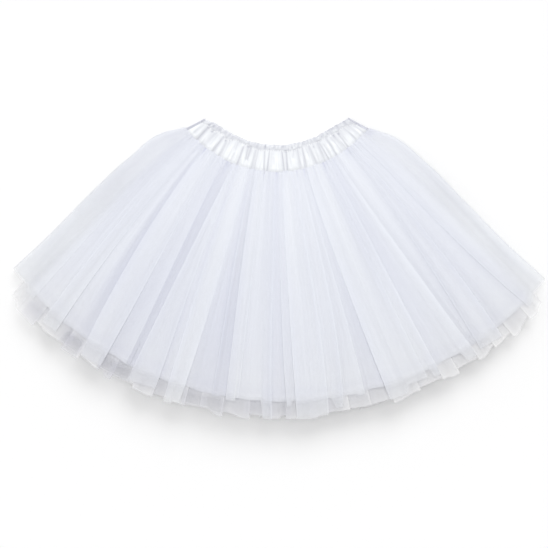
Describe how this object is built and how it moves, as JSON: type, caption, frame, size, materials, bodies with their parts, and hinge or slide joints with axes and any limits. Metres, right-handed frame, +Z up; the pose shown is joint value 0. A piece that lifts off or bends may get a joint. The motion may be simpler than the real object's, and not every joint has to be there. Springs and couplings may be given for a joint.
{
  "type": "ballet tutu",
  "caption": "Child's ballet tutu laid flat: gathered satin waistband over an elastic, with a fan-shaped skirt of gathered tulle layers, open at waist and hem.",
  "frame": {"origin": "on the surface it lies on, under the middle of its bounding box", "axes": "+X across the skirt, to the right as seen from above with the waist at the top; +Y from hem to waistband; +Z up, from the back of the skirt to its front"},
  "size_m": [0.5904, 0.3321, 0.0393],
  "materials": {
    "satin": "white satin, gathered, soft gloss",
    "tulle": "white soft tulle net, matt, half see-through"
  },
  "bodies": {
    "root": {"waistband": "satin", "tulle_outer": "tulle", "tulle_middle": "tulle", "tulle_inner": "tulle"}
  },
  "joints": []
}
